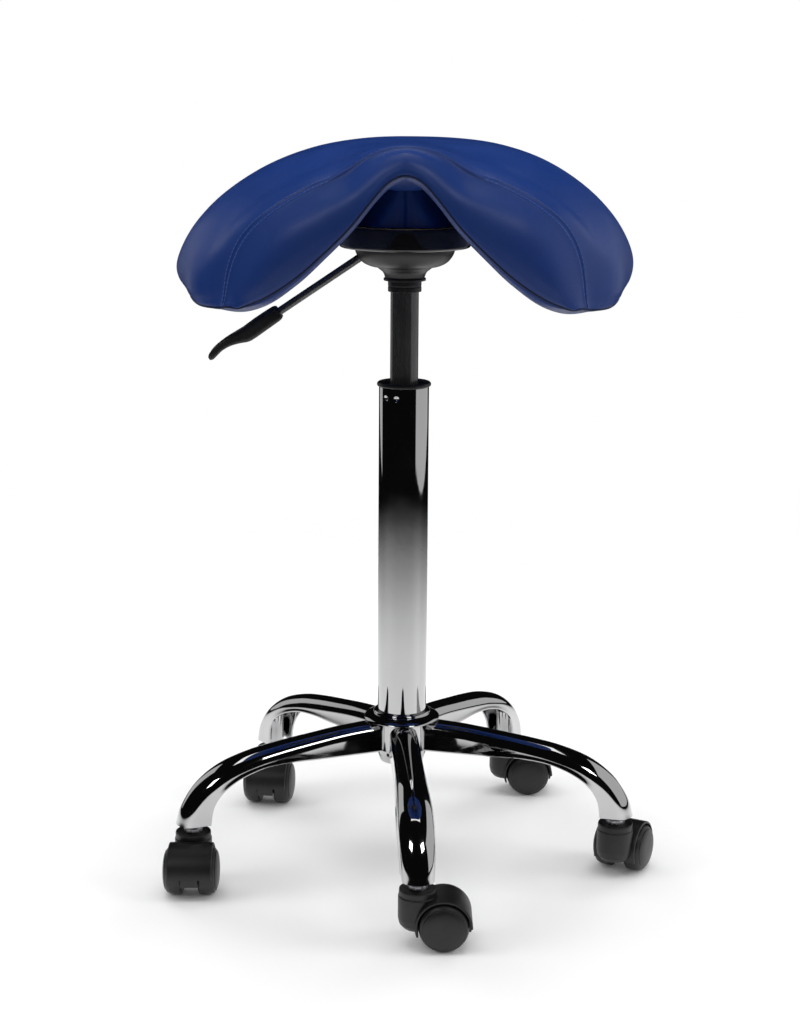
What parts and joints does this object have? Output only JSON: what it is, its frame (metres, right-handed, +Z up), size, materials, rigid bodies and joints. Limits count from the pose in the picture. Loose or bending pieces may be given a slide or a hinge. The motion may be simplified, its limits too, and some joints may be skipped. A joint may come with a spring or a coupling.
{
  "type": "saddle stool",
  "caption": "Height-adjustable saddle stool: arched padded seat in blue vinyl, gas-lift column with a hand lever, and a chromed base with arms on swivel casters.",
  "frame": {"origin": "centre of the lift rod's lower end face, on the column's axis, 99 mm above the floor", "axes": "+Z up along the column; the seat's narrow front faces -Y; +X is the sitter's left, away from the lever"},
  "size_m": [0.4989, 0.4719, 0.7359],
  "materials": {
    "chrome": "polished chrome plating on steel",
    "steel": "plain zinc-plated steel",
    "dark_steel": "dark semi-gloss coating on a drawn steel tube or rod",
    "black_enamel": "glossy black enamel",
    "black_plastic": "satin black moulded plastic",
    "black_nylon": "fine-grained black moulded nylon",
    "rubber": "matte black rubber",
    "plywood": "raw birch plywood",
    "blue_vinyl": "royal-blue vinyl-coated upholstery fabric with a fine grain and a soft sheen"
  },
  "bodies": {
    "base": {"base_hub": "chrome", "hub_collar": "chrome", "base_arm_1": "chrome", "base_arm_2": "chrome", "base_arm_3": "chrome", "base_arm_4": "chrome", "base_arm_5": "chrome", "stem_socket_1": "chrome", "stem_socket_2": "chrome", "stem_socket_3": "chrome", "stem_socket_4": "chrome", "stem_socket_5": "chrome", "column_tube": "chrome", "guide_bush": "black_plastic", "thrust_bearing": "steel", "caster_stem_1": "steel", "caster_stem_2": "steel", "caster_stem_3": "steel", "caster_stem_4": "steel", "caster_stem_5": "steel"},
    "gas_rod": {"piston_rod": "steel", "retaining_clip": "steel", "bump_stop": "rubber"},
    "seat": {"gas_cylinder": "dark_steel", "rod_seal": "rubber", "neck_collar": "black_plastic", "mechanism_housing": "black_plastic", "mounting_plate": "black_enamel", "taper_socket": "steel", "plate_screw_1": "steel", "plate_screw_2": "steel", "plate_screw_3": "steel", "plate_screw_4": "steel", "lever_pivot": "steel", "seat_board": "plywood", "seat_block": "blue_vinyl", "seat_cushion": "blue_vinyl"},
    "lever": {"lever_rod": "dark_steel", "lever_grip": "black_plastic"},
    "release_valve": {"release_pin": "steel"},
    "caster_1": {"caster_hood_1": "black_nylon"},
    "wheels_1": {"caster_axle_1": "steel", "wheel_left_1": "black_nylon", "wheel_right_1": "black_nylon"},
    "caster_2": {"caster_hood_2": "black_nylon"},
    "wheels_2": {"caster_axle_2": "steel", "wheel_left_2": "black_nylon", "wheel_right_2": "black_nylon"},
    "caster_3": {"caster_hood_3": "black_nylon"},
    "wheels_3": {"caster_axle_3": "steel", "wheel_left_3": "black_nylon", "wheel_right_3": "black_nylon"},
    "caster_4": {"caster_hood_4": "black_nylon"},
    "wheels_4": {"caster_axle_4": "steel", "wheel_left_4": "black_nylon", "wheel_right_4": "black_nylon"},
    "caster_5": {"caster_hood_5": "black_nylon"},
    "wheels_5": {"caster_axle_5": "steel", "wheel_left_5": "black_nylon", "wheel_right_5": "black_nylon"}
  },
  "joints": [
    {"name": "seat_swivel", "type": "hinge", "parent": "base", "child": "gas_rod", "pos_m": [0, 0, 0.0007], "axis": [0, 0, 1], "continuous": true},
    {"name": "seat_lift", "type": "slide", "parent": "gas_rod", "child": "seat", "axis": [0, 0, 1], "range_m": [-0.075, 0.125]},
    {"name": "lever_rock", "type": "hinge", "parent": "seat", "child": "lever", "pos_m": [-0.03, 0, 0.5262], "axis": [0, 1, 0], "range_deg": [0, 6], "stiffness_Nm_per_rad": 8, "springref_deg": -3.44},
    {"name": "valve_press", "type": "slide", "parent": "seat", "child": "release_valve", "axis": [0, 0, 1], "range_m": [-0.0033, 0]},
    {"name": "caster_swivel_1", "type": "hinge", "parent": "base", "child": "caster_1", "pos_m": [0.0157, -0.22445, -0.0693], "axis": [0, 0, 1], "continuous": true},
    {"name": "wheel_spin_1", "type": "hinge", "parent": "caster_1", "child": "wheels_1", "pos_m": [0.0402, -0.22445, -0.0753], "axis": [0, 1, 0], "continuous": true},
    {"name": "caster_swivel_2", "type": "hinge", "parent": "base", "child": "caster_2", "pos_m": [0.21832, -0.05443, -0.0693], "axis": [0, 0, 1], "continuous": true},
    {"name": "wheel_spin_2", "type": "hinge", "parent": "caster_2", "child": "wheels_2", "pos_m": [0.22982, -0.0328, -0.0753], "axis": [-0.8829, 0.4695, 0], "continuous": true},
    {"name": "caster_swivel_3", "type": "hinge", "parent": "base", "child": "caster_3", "pos_m": [0.11923, 0.19081, -0.0693], "axis": [0, 0, 1], "continuous": true},
    {"name": "wheel_spin_3", "type": "hinge", "parent": "caster_3", "child": "wheels_3", "pos_m": [0.14373, 0.19081, -0.0753], "axis": [0, 1, 0], "continuous": true},
    {"name": "caster_swivel_4", "type": "hinge", "parent": "base", "child": "caster_4", "pos_m": [-0.14463, 0.17236, -0.0693], "axis": [0, 0, 1], "continuous": true},
    {"name": "wheel_spin_4", "type": "hinge", "parent": "caster_4", "child": "wheels_4", "pos_m": [-0.14761, 0.14804, -0.0753], "axis": [0.9925, -0.1219, 0], "continuous": true},
    {"name": "caster_swivel_5", "type": "hinge", "parent": "base", "child": "caster_5", "pos_m": [-0.20862, -0.08429, -0.0693], "axis": [0, 0, 1], "continuous": true},
    {"name": "wheel_spin_5", "type": "hinge", "parent": "caster_5", "child": "wheels_5", "pos_m": [-0.20862, -0.10879, -0.0753], "axis": [1, 0, 0], "continuous": true}
  ],
  "couplings": [
    {"joint": "valve_press", "follows": "lever_rock", "m_per_rad": -0.03}
  ]
}
